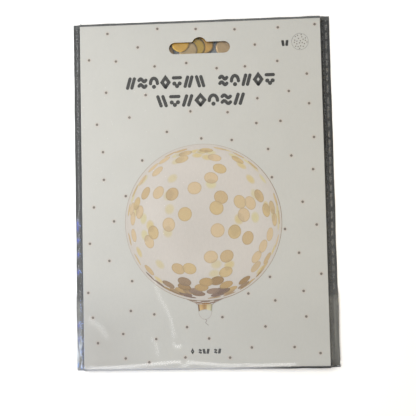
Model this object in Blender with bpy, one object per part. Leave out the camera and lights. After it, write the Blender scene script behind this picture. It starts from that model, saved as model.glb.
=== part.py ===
"""Flat hang pack of a confetti balloon, lying on its back.

A clear film bag holds a printed card with a hang slot, and behind the card a folded clear balloon
with gold foil confetti in it. +X runs across the card, +Y up the card, +Z out of its printed face.
The origin is the middle of the underside.
"""

import math
import random

import bmesh
import bpy
from mathutils import Matrix, Vector

MM = 0.001

# Air between two pieces that lie on each other
CLEARANCE = 0.3 * MM

# Card
CARD_WIDTH = 126.0 * MM
CARD_HEIGHT = 179.0 * MM
CARD_THICKNESS = 0.4 * MM

# Hang slot: a long round-ended hole with a round bump above its middle
SLOT_LENGTH = 32.0 * MM
SLOT_HEIGHT = 6.2 * MM
SLOT_DROP = 13.4 * MM  # from the card's top edge down to the middle of the long hole
BUMP_RADIUS = 3.8 * MM
BUMP_RISE = 2.6 * MM  # top of the bump over the straight upper edge
BUMP_FILLET = 1.0 * MM

# Bag: film beyond the card's edges, and the flap folded under the back
FILM = 0.05 * MM
MARGIN_LEFT = 4.5 * MM
MARGIN_RIGHT = 5.5 * MM
MARGIN_TOP = 1.7 * MM
MARGIN_BOTTOM = 1.5 * MM
WELD_WIDTH = 1.8 * MM
FLAP_HEIGHT = 36.0 * MM
MOUTH_INSET = 2.0 * MM  # from the card's bottom edge up to the back film's lower edge
STEP_LENGTH = 6.0 * MM  # how far the back film takes to come down past the flap's free end

# Adhesive strip on the flap
TAPE_WIDTH = 6.0 * MM
TAPE_THICKNESS = 0.1 * MM
TAPE_FROM_FLAP_END = 0.3 * MM
TAPE_SIDE_INSET = 1.5 * MM

# Folded balloon
BALLOON_WALL = 0.25 * MM
BALLOON_SIDE_INSET = 7.0 * MM
BALLOON_TOP_INSET = 2.5 * MM
BALLOON_CORNER = 12.0 * MM
TOP_FOLD_SHARE = 0.4  # height of the flat top fold, as a share of the balloon's own
NECK_WIDTH = 18.0 * MM
NECK_HEIGHT = 1.3 * MM
NECK_LENGTH = 9.0 * MM
NECK_BOTTOM_INSET = 4.0 * MM
SHOULDER_LENGTH = 12.0 * MM

# Confetti
DISC_DIAMETER = 10.0 * MM
DISC_THICKNESS = 0.1 * MM
DISC_COUNT = 42
DISC_SEED = 7
DISC_TRIES = 4000  # places that are tried by chance before the balloon counts as full

# Discs that show in the hang slot: place from the slot's middle, and layer counted from the top
SLOT_DISCS = (
    (-10.1 * MM, 3.4 * MM),
    (-6.2 * MM, -0.6 * MM),
    (-18.6 * MM, -1.4 * MM),
    (-2.0 * MM, 1.0 * MM),
    (2.4 * MM, 2.3 * MM),
    (13.4 * MM, 0.3 * MM),
)
SLOT_DISC_LAYERS = (0, 1, 2, 2, 3, 1)
DISC_LAYERS = 1 + max(SLOT_DISC_LAYERS)

# Plan of the bag and the card
BAG_WIDTH = MARGIN_LEFT + CARD_WIDTH + MARGIN_RIGHT
BAG_HEIGHT = MARGIN_BOTTOM + CARD_HEIGHT + MARGIN_TOP
BAG_LEFT = -BAG_WIDTH / 2
BAG_RIGHT = BAG_WIDTH / 2
BAG_BOTTOM = -BAG_HEIGHT / 2
BAG_TOP = BAG_HEIGHT / 2
CARD_LEFT = BAG_LEFT + MARGIN_LEFT
CARD_RIGHT = CARD_LEFT + CARD_WIDTH
CARD_BOTTOM = BAG_BOTTOM + MARGIN_BOTTOM
CARD_TOP = CARD_BOTTOM + CARD_HEIGHT
CARD_MIDDLE = (CARD_LEFT + CARD_RIGHT) / 2
SLOT_Y = CARD_TOP - SLOT_DROP
MOUTH_Y = CARD_BOTTOM + MOUTH_INSET
FLAP_END = BAG_BOTTOM + FLAP_HEIGHT
STEP_START = FLAP_END + CLEARANCE
BALLOON_HALF = CARD_WIDTH / 2 - BALLOON_SIDE_INSET
BALLOON_TOP = CARD_TOP - BALLOON_TOP_INSET
NECK_END = CARD_BOTTOM + NECK_BOTTOM_INSET
SHOULDER = NECK_END + NECK_LENGTH
BODY_START = SHOULDER + SHOULDER_LENGTH
BODY_END = BALLOON_TOP - BALLOON_CORNER

# Heights, from the flap on the table up to the front film
TAPE_LOW = FILM + CLEARANCE
BACK_OVER_FLAP = TAPE_LOW + TAPE_THICKNESS + CLEARANCE
BALLOON_LOW = BACK_OVER_FLAP + FILM + CLEARANCE
BALLOON_INSIDE = DISC_LAYERS * DISC_THICKNESS + (DISC_LAYERS + 1) * CLEARANCE
BALLOON_HIGH = BALLOON_LOW + BALLOON_INSIDE + 2 * BALLOON_WALL
CARD_LOW = BALLOON_HIGH + CLEARANCE
CARD_HIGH = CARD_LOW + CARD_THICKNESS
CROWN = CARD_HIGH + CLEARANCE + FILM

# Smoothness of arcs, and how near two points are made one
ARC_STEPS = 12
FILLET_STEPS = 4
FOLD_STEPS = 4
SIDE_STEPS = 6
DISC_SIDES = 20
JOIN_DISTANCE = 0.001 * MM

# Colours, roughness and metallic values
LOOKS = {
    "clear_film": ((0.80, 0.82, 0.83), 0.08, 0.0, 0.25),
    "adhesive": ((0.86, 0.87, 0.86), 0.35, 0.0, 0.45),
    "printed_board": ((0.66, 0.64, 0.61), 0.45, 0.0, 1.0),
    "balloon_film": ((0.82, 0.84, 0.85), 0.12, 0.0, 0.35),
    "gold_foil": ((0.72, 0.50, 0.20), 0.25, 1.0, 1.0),
}


def clear_scene():
    for thing in list(bpy.data.objects):
        bpy.data.objects.remove(thing, do_unlink=True)


def make_material(name):
    colour, roughness, metallic, alpha = LOOKS[name]
    material = bpy.data.materials.new(name)
    material.use_nodes = True
    shader = material.node_tree.nodes["Principled BSDF"]
    shader.inputs["Base Color"].default_value = (*colour, 1.0)
    shader.inputs["Roughness"].default_value = roughness
    shader.inputs["Metallic"].default_value = metallic
    shader.inputs["Alpha"].default_value = alpha
    return material


def add_object(name, shape, look):
    """Turns a bmesh into an object with a material of its own."""
    bmesh.ops.recalc_face_normals(shape, faces=shape.faces)
    mesh = bpy.data.meshes.new(name)
    shape.to_mesh(mesh)
    shape.free()
    mesh.materials.append(make_material(look))
    thing = bpy.data.objects.new(name, mesh)
    bpy.context.scene.collection.objects.link(thing)
    return thing


def arc(centre, radius, start, end, steps=ARC_STEPS):
    """Points on an arc from angle start to angle end, in degrees, both ends included."""
    points = []
    for k in range(steps + 1):
        angle = math.radians(start + (end - start) * k / steps)
        points.append((centre[0] + radius * math.cos(angle), centre[1] + radius * math.sin(angle)))
    return points


def slot_outline():
    """The hang slot about its own middle, anticlockwise from its right end's lowest point."""
    end_radius = SLOT_HEIGHT / 2
    end_x = SLOT_LENGTH / 2 - end_radius
    bump_y = end_radius + BUMP_RISE - BUMP_RADIUS
    fillet_y = end_radius + BUMP_FILLET
    reach = BUMP_RADIUS + BUMP_FILLET
    fillet_x = math.sqrt(reach**2 - (fillet_y - bump_y) ** 2)
    meet = math.degrees(math.atan2(fillet_y - bump_y, fillet_x))
    right = arc((end_x, 0.0), end_radius, -90, 90)
    right += arc((fillet_x, fillet_y), BUMP_FILLET, -90, meet - 180, FILLET_STEPS)
    bump = arc((0.0, bump_y), BUMP_RADIUS, meet, 180 - meet)[1:-1]
    left = [(-x, y) for x, y in reversed(right)]
    return right + bump + left


def prism(outline, low, high):
    """A closed bmesh of the outline, from height low to height high."""
    shape = bmesh.new()
    base = shape.faces.new([shape.verts.new((x, y, low)) for x, y in outline])
    raised = bmesh.ops.extrude_face_region(shape, geom=[base])
    corners = [part for part in raised["geom"] if isinstance(part, bmesh.types.BMVert)]
    bmesh.ops.translate(shape, vec=Vector((0, 0, high - low)), verts=corners)
    return shape


def rectangle(left, right, bottom, top):
    return [(left, bottom), (right, bottom), (right, top), (left, top)]


def slot_cutter():
    """A tool the shape of the hang slot, taller than the whole pack."""
    outline = [(CARD_MIDDLE + x, SLOT_Y + y) for x, y in slot_outline()]
    cutter = add_object("slot_cutter", prism(outline, -CROWN, 2 * CROWN), "printed_board")
    cutter.hide_render = True
    cutter.display_type = "WIRE"
    return cutter


def punch(thing, cutter):
    cut = thing.modifiers.new("hang slot", "BOOLEAN")
    cut.operation = "DIFFERENCE"
    cut.solver = "EXACT"
    cut.object = cutter


def add_strip(shape, rows):
    """Quads between neighbouring rows of points; every row has as many points as the others."""
    made = [[shape.verts.new(point) for point in row] for row in rows]
    for lower, upper in zip(made, made[1:]):
        for k in range(len(lower) - 1):
            shape.faces.new((lower[k], lower[k + 1], upper[k + 1], upper[k]))


def smooth_share(share):
    """An even S-shaped ramp from 0 to 1."""
    share = min(max(share, 0.0), 1.0)
    return share * share * (3 - 2 * share)


def back_low(y):
    """Underside of the back film: it lies on the flap, then steps down to the table."""
    return BACK_OVER_FLAP * (1 - smooth_share((y - STEP_START) / STEP_LENGTH))


def seam(y):
    """Height of the middle of the side welds, which is the back film's upper face."""
    return back_low(y) + FILM


def slant_shift(y, run):
    """How far outwards the film's outer bends lie from its inner ones, so the slope keeps its wall."""
    slope = math.atan2(CROWN - FILM - seam(y), run)
    return FILM * math.tan(slope / 2)


def front_section(y, outer):
    """The front film across the bag at height y: (x, z) from the left edge to the right edge."""
    left_weld = BAG_LEFT + WELD_WIDTH
    right_weld = BAG_RIGHT - WELD_WIDTH
    left_shift = slant_shift(y, CARD_LEFT - left_weld) if outer else 0.0
    right_shift = slant_shift(y, right_weld - CARD_RIGHT) if outer else 0.0
    lift = FILM if outer else 0.0
    low = seam(y) + lift
    high = CROWN - FILM + lift
    return [
        (BAG_LEFT, low),
        (left_weld - left_shift, low),
        (CARD_LEFT - left_shift, high),
        (CARD_MIDDLE, high),
        (CARD_RIGHT + right_shift, high),
        (right_weld + right_shift, low),
        (BAG_RIGHT, low),
    ]


def back_section(y, outer):
    """The back film across the bag at height y."""
    level = back_low(y) if outer else seam(y)
    return [(x, level) for x, _ in front_section(y, outer=False)]


def flap_section(outer):
    level = 0.0 if outer else FILM
    return [(x, level) for x, _ in front_section(CARD_BOTTOM, outer=False)]


def flat_row(section, y):
    return [(x, y, z) for x, z in section]


def fold_rows(upper, lower, y, reach):
    """Rows round the outside of a fold, from the upper section to the middle of the fold."""
    rows = []
    for k in range(1, FOLD_STEPS + 1):
        turn = math.pi / 2 * k / FOLD_STEPS
        row = []
        for (x, high), (_, low) in zip(upper, lower):
            middle = (high + low) / 2
            row.append((x, y + reach * math.sin(turn), middle + (high - middle) * math.cos(turn)))
        rows.append(row)
    return rows


def step_stations():
    """Places up the card at which the back film comes down past the flap's free end."""
    return [STEP_START + STEP_LENGTH * k / FOLD_STEPS for k in range(FOLD_STEPS + 1)]


def bag_rows(outer):
    """Rows of the front film and the back film, from the mouth to the fold at the top."""
    stations = [MOUTH_Y, *step_stations(), CARD_TOP]
    reach = MARGIN_TOP if outer else MARGIN_TOP - FILM
    front = [flat_row(front_section(y, outer), y) for y in stations]
    back = [flat_row(back_section(y, outer), y) for y in stations]
    front_top = front_section(CARD_TOP, outer)
    back_top = back_section(CARD_TOP, outer)
    front += fold_rows(front_top, back_top, CARD_TOP, reach)
    back += [
        [(high[0], low[1], low[2]) for high, low in zip(upper, lower)]
        for upper, lower in zip(
            fold_rows(front_top, back_top, CARD_TOP, reach),
            fold_rows(back_top, front_top, CARD_TOP, reach),
        )
    ]
    return front, back


def lip_rows(outer):
    """Rows of the lip: the front film below the mouth, the bottom fold and the flap under the back."""
    reach = MARGIN_BOTTOM if outer else MARGIN_BOTTOM - FILM
    front = front_section(CARD_BOTTOM, outer)
    flap = flap_section(outer)
    down = fold_rows(front, flap, CARD_BOTTOM, -reach)
    up = fold_rows(flap, front, CARD_BOTTOM, -reach)[:-1]
    up = [[(a[0], b[1], b[2]) for a, b in zip(down[-1], row)] for row in up]
    rows = [flat_row(front_section(MOUTH_Y, outer), MOUTH_Y), flat_row(front, CARD_BOTTOM)]
    rows += down + list(reversed(up))
    rows += [flat_row(flap, CARD_BOTTOM), flat_row(flap, FLAP_END)]
    return rows


def make_bag(cutter):
    """One web of film: flap, bottom fold, front, top fold and back, welded along both sides."""
    shape = bmesh.new()
    front_out, back_out = bag_rows(outer=True)
    front_in, back_in = bag_rows(outer=False)
    lip_out = lip_rows(outer=True)
    lip_in = lip_rows(outer=False)
    for rows in (front_out, back_out, lip_out, lip_in):
        add_strip(shape, rows)
    for rows in (front_in, back_in):
        add_strip(shape, [row[1:-1] for row in rows])
    # Free edges: the flap's end, the lip's two sides, the mouth and the two welds
    add_strip(shape, [lip_out[-1], lip_in[-1]])
    for side in (0, -1):
        add_strip(shape, [[row[side] for row in lip_out], [row[side] for row in lip_in]])
        weld = [(row[side][0], row[side][1], seam(row[side][1])) for row in front_out]
        add_strip(shape, [[row[side] for row in front_out], weld, [row[side] for row in back_out]])
    mouth_in = [lip_in[0][0], *back_in[0][1:-1], lip_in[0][-1]]
    add_strip(shape, [back_out[0], mouth_in])
    bmesh.ops.remove_doubles(shape, verts=shape.verts, dist=JOIN_DISTANCE)
    bag = add_object("bag", shape, "clear_film")
    punch(bag, cutter)
    return bag


def make_card(cutter):
    outline = rectangle(CARD_LEFT, CARD_RIGHT, CARD_BOTTOM, CARD_TOP)
    card = add_object("card", prism(outline, CARD_LOW, CARD_HIGH), "printed_board")
    punch(card, cutter)
    return card


def make_tape():
    top = FLAP_END - TAPE_FROM_FLAP_END
    outline = rectangle(
        BAG_LEFT + TAPE_SIDE_INSET, BAG_RIGHT - TAPE_SIDE_INSET, top - TAPE_WIDTH, top
    )
    return add_object("flap_tape", prism(outline, TAPE_LOW, TAPE_LOW + TAPE_THICKNESS), "adhesive")


def balloon_stations():
    """Places up the balloon, from its mouth to its top, at which its section changes."""
    turns = [math.pi / 2 * k / FOLD_STEPS for k in range(FOLD_STEPS + 1)]
    shoulder = [SHOULDER + SHOULDER_LENGTH * (1 - math.cos(turn)) for turn in turns]
    corner = [BODY_END + BALLOON_CORNER * math.sin(turn) for turn in turns]
    return sorted([NECK_END, *shoulder, *step_stations(), *corner])


def body_share(y):
    """How far the balloon has grown from its neck to its full section: 0 to 1."""
    rise = min(max((y - SHOULDER) / SHOULDER_LENGTH, 0.0), 1.0)
    return math.sqrt(1 - (1 - rise) ** 2)


def balloon_section(y):
    """Half width, underside and top side of the folded balloon."""
    share = body_share(y)
    corner = max(y - BODY_END, 0.0)
    half = NECK_WIDTH / 2 + (BALLOON_HALF - NECK_WIDTH / 2) * share
    half -= BALLOON_CORNER - math.sqrt(max(BALLOON_CORNER**2 - corner**2, 0.0))
    neck_low = (BALLOON_LOW + BALLOON_HIGH - NECK_HEIGHT) / 2
    low = neck_low + (seam(y) + CLEARANCE - neck_low) * share
    high = neck_low + NECK_HEIGHT + (BALLOON_HIGH - neck_low - NECK_HEIGHT) * share
    if y > BALLOON_TOP - BALLOON_WALL:
        narrowing = (high - low) * (1 - TOP_FOLD_SHARE) / 2
        return half, low + narrowing, high - narrowing
    return half, low, high


def flat_tube_loop(y, half_width, low, high):
    """A flat tube's section: two round sides and two flat faces."""
    radius = (high - low) / 2
    right = arc((half_width - radius, (low + high) / 2), radius, -90, 90, SIDE_STEPS)
    loop = right + [(-x, z) for x, z in reversed(right)]
    return [(CARD_MIDDLE + x, y, z) for x, z in loop]


def add_tube(shape, loops):
    """Skins the loops into a tube, closes its last end and gives back its first loop."""
    made = [[shape.verts.new(point) for point in loop] for loop in loops]
    for lower, upper in zip(made, made[1:]):
        for k, corner in enumerate(lower):
            after = (k + 1) % len(lower)
            shape.faces.new((corner, lower[after], upper[after], upper[k]))
    shape.faces.new(made[-1])
    return made[0]


def make_balloon():
    """The balloon as one flat pouch that is open at its neck."""
    shape = bmesh.new()
    skin = []
    lining = []
    for y in balloon_stations():
        half, low, high = balloon_section(y)
        inside = (half - BALLOON_WALL, low + BALLOON_WALL, high - BALLOON_WALL)
        skin.append(flat_tube_loop(y, half, low, high))
        lining.append(flat_tube_loop(min(y, BALLOON_TOP - BALLOON_WALL), *inside))
    outer = add_tube(shape, skin)
    inner = add_tube(shape, lining)
    for k, corner in enumerate(outer):
        after = (k + 1) % len(outer)
        shape.faces.new((corner, outer[after], inner[after], inner[k]))
    return add_object("balloon", shape, "balloon_film")


def layer_low(layer):
    """Underside of a layer of confetti, counted from the top one."""
    roof = BALLOON_HIGH - BALLOON_WALL
    return roof - (layer + 1) * (CLEARANCE + DISC_THICKNESS)


def clear_of(place, others):
    """Whether a disc lies clear of the other discs in its own layer."""
    apart = DISC_DIAMETER + CLEARANCE
    return all(
        place[2] != other[2] or math.dist(place[:2], other[:2]) > apart for other in others
    )


def disc_places():
    """The discs behind the hang slot, then the others, spread by chance over the balloon."""
    chance = random.Random(DISC_SEED)
    radius = DISC_DIAMETER / 2
    wall = BALLOON_WALL + CLEARANCE + (BALLOON_HIGH - FILM - CLEARANCE) / 2
    roof = BALLOON_TOP - wall - radius
    places = [
        (CARD_MIDDLE + x, min(SLOT_Y + y, roof), layer)
        for (x, y), layer in zip(SLOT_DISCS, SLOT_DISC_LAYERS)
    ]
    side = BALLOON_HALF - wall - radius
    low = BODY_START + radius
    high = min(SLOT_Y - SLOT_HEIGHT, BODY_END) - radius
    for _ in range(DISC_TRIES):
        x = CARD_MIDDLE + chance.uniform(-side, side)
        place = (x, chance.uniform(low, high), chance.randrange(DISC_LAYERS))
        if len(places) < DISC_COUNT and clear_of(place, places):
            places.append(place)
    return places


def make_confetti():
    for number, (x, y, layer) in enumerate(disc_places(), start=1):
        shape = bmesh.new()
        bmesh.ops.create_cone(
            shape,
            cap_ends=True,
            segments=DISC_SIDES,
            radius1=DISC_DIAMETER / 2,
            radius2=DISC_DIAMETER / 2,
            depth=DISC_THICKNESS,
            matrix=Matrix.Translation((0, 0, DISC_THICKNESS / 2)),
        )
        disc = add_object(f"confetti_{number:02d}", shape, "gold_foil")
        disc.location = (x, y, layer_low(layer))


clear_scene()
tool = slot_cutter()
make_bag(tool)
make_card(tool)
make_tape()
make_balloon()
make_confetti()
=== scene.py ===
import math
import random

import bmesh
import bpy
import numpy as np
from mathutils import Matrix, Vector, noise
from mathutils.geometry import delaunay_2d_cdt


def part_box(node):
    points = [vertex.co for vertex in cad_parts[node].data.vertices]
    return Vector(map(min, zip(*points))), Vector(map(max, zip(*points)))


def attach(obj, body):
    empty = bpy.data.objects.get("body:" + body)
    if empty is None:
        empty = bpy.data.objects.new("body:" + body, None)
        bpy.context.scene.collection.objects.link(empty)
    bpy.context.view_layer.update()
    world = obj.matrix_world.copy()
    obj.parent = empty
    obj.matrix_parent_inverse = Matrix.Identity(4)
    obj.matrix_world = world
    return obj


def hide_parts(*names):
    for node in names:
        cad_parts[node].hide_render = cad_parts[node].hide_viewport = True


# Looks of a flat hang pack: a wrinkled film bag, a printed card, and behind the card a folded clear
# balloon with gold foil confetti. +X runs across the card, +Y up the card, +Z out of its printed face.

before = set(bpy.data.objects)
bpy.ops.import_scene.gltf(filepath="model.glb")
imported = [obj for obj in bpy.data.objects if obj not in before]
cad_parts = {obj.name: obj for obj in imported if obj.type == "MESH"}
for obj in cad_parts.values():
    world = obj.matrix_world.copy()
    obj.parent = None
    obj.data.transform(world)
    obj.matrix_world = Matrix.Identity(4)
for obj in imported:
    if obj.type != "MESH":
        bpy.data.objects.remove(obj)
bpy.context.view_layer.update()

MM = 0.001

# Places read from the model's parts
card_low, card_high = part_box("card")
bag_low, bag_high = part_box("bag")
tape_low, tape_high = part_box("flap_tape")
balloon_low, balloon_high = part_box("balloon")
CARD_MIDDLE = (card_low.x + card_high.x) / 2
GAP = 0.3 * MM  # air that the model keeps between two pieces
FILM = 0.05 * MM
FLAP_END = tape_high.y + GAP
BACK_ON_FLAP = tape_high.z + GAP + FILM / 2
STEP_LENGTH = 6.0 * MM  # how far the back film takes to come down past the flap's free end
WELD_WIDTH = 1.8 * MM
WELD_LEFT = bag_low.x + WELD_WIDTH
WELD_RIGHT = bag_high.x - WELD_WIDTH
MOUTH_Y = card_low.y + 2.0 * MM
FRONT_LEVEL = bag_high.z - FILM / 2

# Camera
CAMERA_PLACE = (14.603 * MM, -21.117 * MM, 302.262 * MM)
CAMERA_TURN = (2.4423, 2.4513, -1.2964)  # degrees
CAMERA_LENS = 50.0

# Printing: ink lies on the card in thin levels
INK_FIRST = 0.020 * MM
INK_STEP = 0.012 * MM
DOT_RADIUS = 0.67 * MM
HALO_RADIUS = 1.25 * MM
DOT_SPACING = 12.2 * MM
DOT_EDGE = 2.5 * MM  # bare card along its edges
DOT_CLEARANCE = 2.0 * MM  # bare card round the words and the picture's tail
PICTURE_CLEARANCE = 1.5 * MM
DOT_SEED = 11
DOT_TRIES = 6000
WORD_ROWS = (
    (0.0, 58.2, 78.7, 7.1, 1.75, (0, 3, 1, 5, 2, 0, 4, None, 3, 1, 0, 5, 2)),
    (0.0, 48.3, 47.0, 7.1, 1.75, (4, 2, 0, 5, 1, 3, 0)),
    (0.0, -81.4, 15.8, 2.8, 0.68, (5, None, 3, 4, 0, None, 3, 0)),
    (44.6, 76.8, 4.1, 3.4, 0.9, (4, 0)),
)  # middle, width, height and stroke in mm, then the marks in the row
ICON_PLACE = (52.4 * MM, 77.3 * MM)
ICON_RADIUS = 4.3 * MM
ICON_DOT = 0.17 * MM
ICON_DOTS = 44
ICON_SPECK = 0.33 * MM
ICON_SPECKS = 22
ICON_TRIES = 3000
BARE_PLACES = (
    (-39.35, 39.35, 54.65, 61.75),
    (-23.5, 23.5, 44.75, 51.85),
    (-7.9, 7.9, -84.2, -78.6),
    (40.0, 58.5, 71.0, 83.0),
    (-57.0, -35.0, 73.5, 81.0),
    (-17.0, 17.0, 72.0, 83.0),
    (-5.0, 5.0, -70.0, -55.0),
)  # left, right, bottom and top, in mm, of places that carry no dots

# Picture of a round balloon on the card
PICTURE_MIDDLE = (0.0, -15.3 * MM)
PICTURE_RADIUS = 40.5 * MM
PICTURE_DISC = 3.4 * MM
PICTURE_SEED = 5


def rgb(*screen):
    """A screen colour, 0 to 255, as the linear colour that shaders take."""
    shares = [value / 255 for value in screen]
    return tuple(s / 12.92 if s <= 0.04045 else ((s + 0.055) / 1.055) ** 2.4 for s in shares)


CARD_COLOUR = rgb(180, 180, 175)
CARD_CORE = rgb(204, 204, 201)
TEXT_COLOUR = rgb(46, 46, 43)
DOT_COLOUR = rgb(104, 97, 88)
HALO_COLOUR = rgb(181, 175, 168)


def smooth(share):
    """An even S-shaped ramp from 0 to 1, for numbers or arrays."""
    share = np.clip(share, 0.0, 1.0)
    return share * share * (3 - 2 * share)


def ramp(places, start, end):
    """The same ramp over places, from 0 at the start to 1 at the end."""
    return smooth((places - start) / (end - start))


def bell(*shares):
    """A soft peak: 1 where every share is 0, next to nothing where one is over 2."""
    return np.exp(-sum(share * share for share in shares))


def circle(count):
    """Points evenly spaced round a unit circle."""
    turns = [2 * math.pi * k / count for k in range(count)]
    return [(math.cos(turn), math.sin(turn)) for turn in turns]


def stations(start, end, pitch):
    """Evenly spaced places from start to end, both included, about pitch apart."""
    count = max(1, round(abs(end - start) / pitch))
    return [start + (end - start) * k / count for k in range(count + 1)]


def graded(start, *runs):
    """Places from start through the end of each run, each run with its own pitch."""
    places = [start]
    for end, pitch in runs:
        places += stations(places[-1], end, pitch)[1:]
    return np.array(places)


def scattered(draw, tries, count, spacing, suits):
    """Up to count of the places that draw gives by chance: those that suit, well apart."""
    kept = []
    for _ in range(tries):
        place = draw()
        if len(kept) < count and suits(place) and all(math.dist(place, k) > spacing for k in kept):
            kept.append(place)
    return kept


def perlin(xs, ys, size, layer):
    """Smooth noise from about -1 to 1 at each point, with features of the given size."""
    return np.array([noise.noise(Vector((x / size, y / size, layer))) for x, y in zip(xs, ys)])


def perlin_along(ys, size, layer):
    """Smooth noise that changes along y only."""
    return perlin(ys * 0, ys, size, layer)


# Shaders


def add_node(tree, kind, inputs=None, **settings):
    """A shader node; each input is a plain value or the socket that feeds it."""
    made = tree.nodes.new("ShaderNode" + kind)
    for name, value in settings.items():
        setattr(made, name, value)
    for socket, value in (inputs or {}).items():
        if isinstance(value, bpy.types.NodeSocket):
            tree.links.new(value, made.inputs[socket])
        else:
            made.inputs[socket].default_value = value
    return made


def new_material(name, shader_of, **settings):
    """A material whose surface is the shader that shader_of makes in its node tree."""
    material = bpy.data.materials.new(name)
    material.use_nodes = True
    tree = material.node_tree
    tree.nodes.clear()
    add_node(tree, "OutputMaterial", {"Surface": shader_of(tree, **settings)})
    return material


def fine_noise(tree, scale, detail=2.0, stretch=(1.0, 1.0, 1.0)):
    """Noise over the object's own coordinates; scale is in features a metre."""
    where = add_node(tree, "TexCoord")
    placed = add_node(tree, "Mapping", {"Vector": where.outputs["Object"], "Scale": stretch})
    inputs = {"Vector": placed.outputs[0], "Scale": scale, "Detail": detail}
    return add_node(tree, "TexNoise", inputs).outputs["Fac"]


def spread(tree, value, low, high):
    """A value from 0.3 to 0.7, as noise mostly gives, spread over low to high."""
    inputs = {"Value": value, "From Min": 0.3, "From Max": 0.7, "To Min": low, "To Max": high}
    return add_node(tree, "MapRange", inputs).outputs["Result"]


def board_grain(tree, low, high):
    """The fibres of the board, as a tone from low to high."""
    return spread(tree, fine_noise(tree, 1500.0, stretch=(1.0, 0.35, 1.0)), low, high)


def painted(tree):
    """The paint on the mesh, as colour and alpha."""
    return add_node(tree, "Attribute", attribute_name="paint").outputs


def scaled(tree, colour, by):
    return add_node(tree, "VectorMath", {0: colour, "Scale": by}, operation="SCALE").outputs[0]


def maths(tree, operation, *values):
    return add_node(tree, "Math", dict(enumerate(values)), operation=operation).outputs[0]


def bump(tree, height, distance):
    return add_node(tree, "Bump", {"Height": height, "Distance": distance}).outputs[0]


def principled(tree, colour, roughness, normal=None, metallic=0.0, specular=0.5):
    inputs = {"Base Color": colour, "Roughness": roughness, "Metallic": metallic}
    inputs["Specular IOR Level"] = specular
    if normal is not None:
        inputs["Normal"] = normal
    return add_node(tree, "BsdfPrincipled", inputs).outputs[0]


def mix_shaders(tree, share, first, second):
    return add_node(tree, "MixShader", {0: share, 1: first, 2: second}).outputs[0]


def board_shader(tree):
    """Coated board: faint cloudiness and fibres, with a whiter core on its cut edges."""
    clouds = spread(tree, fine_noise(tree, 60.0), 0.985, 1.012)
    fibres = board_grain(tree, 0.985, 1.015)
    facing = add_node(tree, "SeparateXYZ", {0: add_node(tree, "NewGeometry").outputs["Normal"]})
    flat = maths(tree, "GREATER_THAN", maths(tree, "ABSOLUTE", facing.outputs["Z"]), 0.5)
    inputs = {0: flat, 6: (*CARD_CORE, 1.0), 7: (*CARD_COLOUR, 1.0)}
    board = add_node(tree, "Mix", inputs, data_type="RGBA").outputs[2]
    colour = scaled(tree, board, maths(tree, "MULTIPLY", clouds, fibres))
    return principled(tree, colour, 0.42, bump(tree, fibres, 0.02 * MM))


def ink_shader(tree):
    """Printed ink in the colours painted on the mesh, with the board's grain in it."""
    grain = board_grain(tree, 0.975, 1.02)
    colour = scaled(tree, painted(tree)["Color"], grain)
    return principled(tree, colour, 0.38, bump(tree, grain, 0.02 * MM))


def glare_share(tree, head_on):
    """How much a thin film mirrors: little when seen head on, more at a slant, alike from both sides."""
    slant = add_node(tree, "LayerWeight", {"Blend": 0.5}).outputs["Facing"]
    return maths(tree, "MULTIPLY_ADD", maths(tree, "POWER", slant, 5.0), 0.35, head_on)


def film_shader(tree, head_on, roughness, ripple=0.01 * MM):
    """See-through film: its paint is a haze, whose alpha is how dense it is, and glare lies on top."""
    paint = painted(tree)
    clouds = spread(tree, fine_noise(tree, 90.0, detail=4.0), 0.92, 1.06)
    density = maths(tree, "MULTIPLY", paint["Alpha"], clouds)
    clear = add_node(tree, "BsdfTransparent", {"Color": (0.985, 0.985, 0.985, 1.0)})
    haze = principled(tree, paint["Color"], 0.5, specular=0.0)
    film = mix_shaders(tree, density, clear.outputs[0], haze)
    ripples = bump(tree, fine_noise(tree, 260.0, detail=3.0), ripple)
    mirror = principled(tree, (1.0, 1.0, 1.0, 1.0), roughness, ripples, metallic=1.0)
    return mix_shaders(tree, glare_share(tree, head_on), film, mirror)


def foil_shader(tree):
    """Gold foil in the tint painted on each disc, with fine rolling marks and small dents."""
    dents = fine_noise(tree, 420.0, detail=3.0)
    marks = fine_noise(tree, 2600.0, detail=1.0, stretch=(1.0, 0.15, 1.0))
    colour = scaled(tree, painted(tree)["Color"], spread(tree, dents, 0.9, 1.08))
    roughness = spread(tree, marks, 0.34, 0.5)
    return principled(tree, colour, roughness, bump(tree, dents, 0.07 * MM), metallic=0.85)


def floor_shader(tree):
    tone = spread(tree, fine_noise(tree, 6.0), 0.99, 1.0)
    return principled(tree, scaled(tree, (0.97, 0.97, 0.97), tone), 0.7)


# Meshes


class Patches:
    """Collects points and faces of several patches, with the paint of each face's corners."""

    def __init__(self):
        self.coords, self.faces, self.paint = [], [], []

    def add(self, coords, faces, paint):
        """paint is each point's colour, with its density or without."""
        start = len(self.coords)
        self.coords += [tuple(c) for c in coords]
        for face in faces:
            self.faces.append(tuple(start + c for c in face))
            self.paint += [(*paint[c], 1.0)[:4] for c in face]

    def add_film(self, coords, faces, paint_of):
        """paint_of gives the paint of points from their x and y."""
        coords = np.array(coords)
        self.add(coords, faces, paint_of(coords[:, 0], coords[:, 1]))


def in_scene(name, data):
    """A new object in the scene."""
    made = bpy.data.objects.new(name, data)
    bpy.context.scene.collection.objects.link(made)
    return made


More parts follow.
